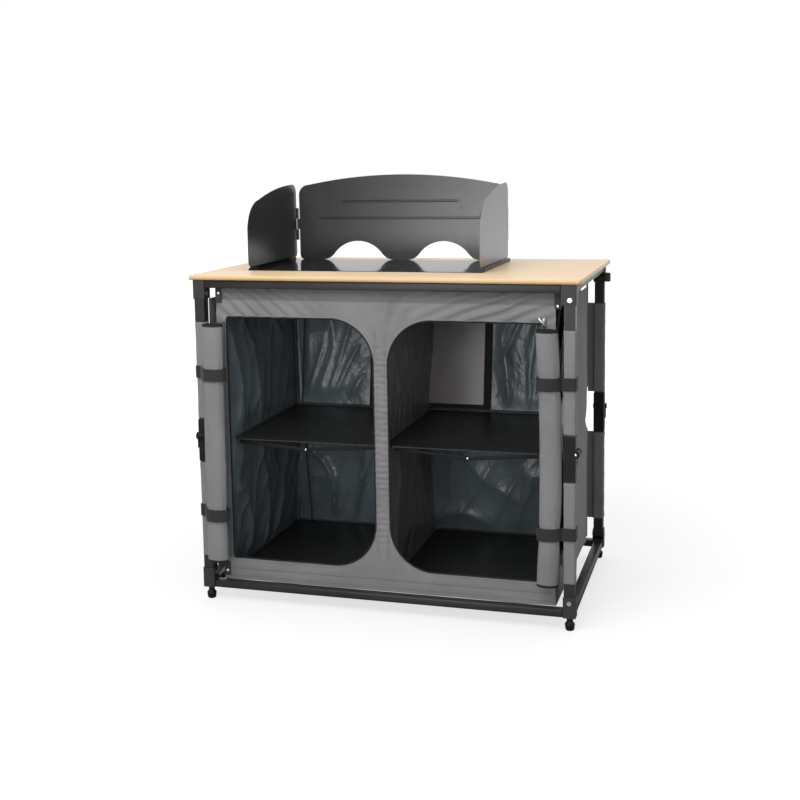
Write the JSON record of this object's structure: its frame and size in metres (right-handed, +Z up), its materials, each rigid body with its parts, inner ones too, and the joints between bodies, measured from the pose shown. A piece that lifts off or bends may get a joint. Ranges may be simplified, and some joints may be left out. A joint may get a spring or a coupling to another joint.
{
  "type": "folding camp kitchen cupboard",
  "caption": "Folding camp kitchen cupboard: wooden worktop on folding legs, cloth body with shelves and rolled doors, and a hinged windshield on a tray.",
  "frame": {"origin": "on the ground, midway between the four feet", "axes": "+Z up out of the worktop, +X to the right along the longer side, +Y from the open front to the back"},
  "size_m": [0.96, 0.6282, 1.0531],
  "materials": {
    "worktop_wood": "satin",
    "frame_coat": "satin",
    "knuckle_plastic": "matte",
    "foot_plastic": "matte",
    "rivet_steel": "gloss",
    "tray_enamel": "gloss",
    "shield_coat": "satin",
    "outer_cloth": "matte",
    "lining_cloth": "satin",
    "window_film": "matte",
    "board_black": "matte",
    "webbing": "matte",
    "hook_plastic": "matte"
  },
  "bodies": {
    "base": {"base_corner_blocks": "knuckle_plastic", "base_pivot_rivets": "rivet_steel", "base_rails_long": "frame_coat", "base_rails_short": "frame_coat", "floor_board_left": "board_black", "floor_board_right": "board_black", "front_cloth": "outer_cloth", "outer_side_panels": "outer_cloth", "rolled_door_left": "outer_cloth", "rolled_door_right": "outer_cloth", "inner_side_walls": "lining_cloth", "rear_wall": "lining_cloth", "divider_wall": "lining_cloth", "base_cloth": "lining_cloth", "rear_window": "window_film", "roll_straps": "webbing", "hanger_tabs": "webbing", "zip_slider": "rivet_steel"},
    "lower_leg_front_left": {"lower_leg_front_left": "frame_coat", "lower_knuckle_front_left": "knuckle_plastic", "lower_sleeve_front_left": "outer_cloth"},
    "upper_leg_front_left": {"upper_leg_front_left": "frame_coat", "upper_knuckle_front_left": "knuckle_plastic", "upper_sleeve_front_left": "outer_cloth"},
    "foot_front_left": {"levelling_foot_front_left": "foot_plastic"},
    "lower_leg_front_right": {"lower_leg_front_right": "frame_coat", "lower_knuckle_front_right": "knuckle_plastic", "lower_sleeve_front_right": "outer_cloth"},
    "upper_leg_front_right": {"upper_leg_front_right": "frame_coat", "upper_knuckle_front_right": "knuckle_plastic", "upper_sleeve_front_right": "outer_cloth"},
    "foot_front_right": {"levelling_foot_front_right": "foot_plastic"},
    "lower_leg_rear_left": {"lower_leg_rear_left": "frame_coat", "lower_knuckle_rear_left": "knuckle_plastic", "lower_sleeve_rear_left": "outer_cloth"},
    "upper_leg_rear_left": {"upper_leg_rear_left": "frame_coat", "upper_knuckle_rear_left": "knuckle_plastic", "upper_sleeve_rear_left": "outer_cloth"},
    "foot_rear_left": {"levelling_foot_rear_left": "foot_plastic"},
    "lower_leg_rear_right": {"lower_leg_rear_right": "frame_coat", "lower_knuckle_rear_right": "knuckle_plastic", "lower_sleeve_rear_right": "outer_cloth"},
    "upper_leg_rear_right": {"upper_leg_rear_right": "frame_coat", "upper_knuckle_rear_right": "knuckle_plastic", "upper_sleeve_rear_right": "outer_cloth"},
    "foot_rear_right": {"levelling_foot_rear_right": "foot_plastic"},
    "top_frame": {"worktop": "worktop_wood", "top_corner_blocks": "knuckle_plastic", "top_pivot_rivets": "rivet_steel", "top_rails_long": "frame_coat", "top_rails_short": "frame_coat", "windshield_tray": "tray_enamel", "windshield_back_panel": "shield_coat", "windshield_hinge_pins": "rivet_steel", "corner_hook": "hook_plastic"},
    "wing_left": {"windshield_wing_left": "shield_coat"},
    "wing_right": {"windshield_wing_right": "shield_coat"},
    "shelves": {"shelf_board_left": "board_black", "shelf_board_right": "board_black", "shelf_braces": "rivet_steel"}
  },
  "joints": [
    {"name": "frame_fold", "type": "hinge", "parent": "base", "child": "lower_leg_front_right", "pos_m": [0.454, -0.27, 0.068], "axis": [0, -1, 0], "range_deg": [0, 86], "deforming": ["front_cloth", "outer_side_panels", "rolled_door_left", "rolled_door_right", "inner_side_walls", "rear_wall", "divider_wall", "base_cloth", "rear_window", "roll_straps", "hanger_tabs", "zip_slider"]},
    {"name": "lower_fold_front_left", "type": "hinge", "parent": "base", "child": "lower_leg_front_left", "pos_m": [-0.454, -0.27, 0.068], "axis": [-1, 0, 0], "range_deg": [0, 86]},
    {"name": "lower_fold_rear_left", "type": "hinge", "parent": "base", "child": "lower_leg_rear_left", "pos_m": [-0.454, 0.27, 0.068], "axis": [0, 1, 0], "range_deg": [0, 86]},
    {"name": "lower_fold_rear_right", "type": "hinge", "parent": "base", "child": "lower_leg_rear_right", "pos_m": [0.454, 0.27, 0.068], "axis": [1, 0, 0], "range_deg": [0, 86]},
    {"name": "upper_fold_front_right", "type": "hinge", "parent": "lower_leg_front_right", "child": "upper_leg_front_right", "pos_m": [0.469, -0.27, 0.421], "axis": [0, -1, 0], "range_deg": [-172, 0]},
    {"name": "upper_fold_front_left", "type": "hinge", "parent": "lower_leg_front_left", "child": "upper_leg_front_left", "pos_m": [-0.454, -0.285, 0.421], "axis": [-1, 0, 0], "range_deg": [-172, 0]},
    {"name": "upper_fold_rear_left", "type": "hinge", "parent": "lower_leg_rear_left", "child": "upper_leg_rear_left", "pos_m": [-0.469, 0.27, 0.421], "axis": [0, 1, 0], "range_deg": [-172, 0]},
    {"name": "upper_fold_rear_right", "type": "hinge", "parent": "lower_leg_rear_right", "child": "upper_leg_rear_right", "pos_m": [0.454, 0.285, 0.421], "axis": [1, 0, 0], "range_deg": [-172, 0]},
    {"name": "top_level", "type": "hinge", "parent": "upper_leg_front_right", "child": "top_frame", "pos_m": [0.454, -0.27, 0.774], "axis": [0, -1, 0], "range_deg": [0, 86]},
    {"name": "shelf_drop", "type": "slide", "parent": "base", "child": "shelves", "axis": [0, 0, -1], "range_m": [0, 0.311]},
    {"name": "wing_left_hinge", "type": "hinge", "parent": "top_frame", "child": "wing_left", "pos_m": [-0.377, 0.205, 0.9192], "axis": [0, 0, 1], "range_deg": [0, 88]},
    {"name": "wing_right_hinge", "type": "hinge", "parent": "top_frame", "child": "wing_right", "pos_m": [0.217, 0.201, 0.9192], "axis": [0, 0, 1], "range_deg": [-88, 0]},
    {"name": "foot_turn_front_left", "type": "hinge", "parent": "base", "child": "foot_front_left", "pos_m": [-0.454, -0.27, 0.016], "axis": [0, 0, 1], "continuous": true},
    {"name": "foot_turn_front_right", "type": "hinge", "parent": "base", "child": "foot_front_right", "pos_m": [0.454, -0.27, 0.016], "axis": [0, 0, 1], "continuous": true},
    {"name": "foot_turn_rear_left", "type": "hinge", "parent": "base", "child": "foot_rear_left", "pos_m": [-0.454, 0.27, 0.016], "axis": [0, 0, 1], "continuous": true},
    {"name": "foot_turn_rear_right", "type": "hinge", "parent": "base", "child": "foot_rear_right", "pos_m": [0.454, 0.27, 0.016], "axis": [0, 0, 1], "continuous": true}
  ],
  "couplings": [
    {"joint": "lower_fold_front_left", "follows": "frame_fold", "ratio": 1},
    {"joint": "lower_fold_rear_left", "follows": "frame_fold", "ratio": 1},
    {"joint": "lower_fold_rear_right", "follows": "frame_fold", "ratio": 1},
    {"joint": "upper_fold_front_right", "follows": "frame_fold", "ratio": -2},
    {"joint": "upper_fold_front_left", "follows": "frame_fold", "ratio": -2},
    {"joint": "upper_fold_rear_left", "follows": "frame_fold", "ratio": -2},
    {"joint": "upper_fold_rear_right", "follows": "frame_fold", "ratio": -2},
    {"joint": "top_level", "follows": "frame_fold", "ratio": 1},
    {"joint": "shelf_drop", "follows": "frame_fold", "m_per_rad": 0.2072}
  ]
}
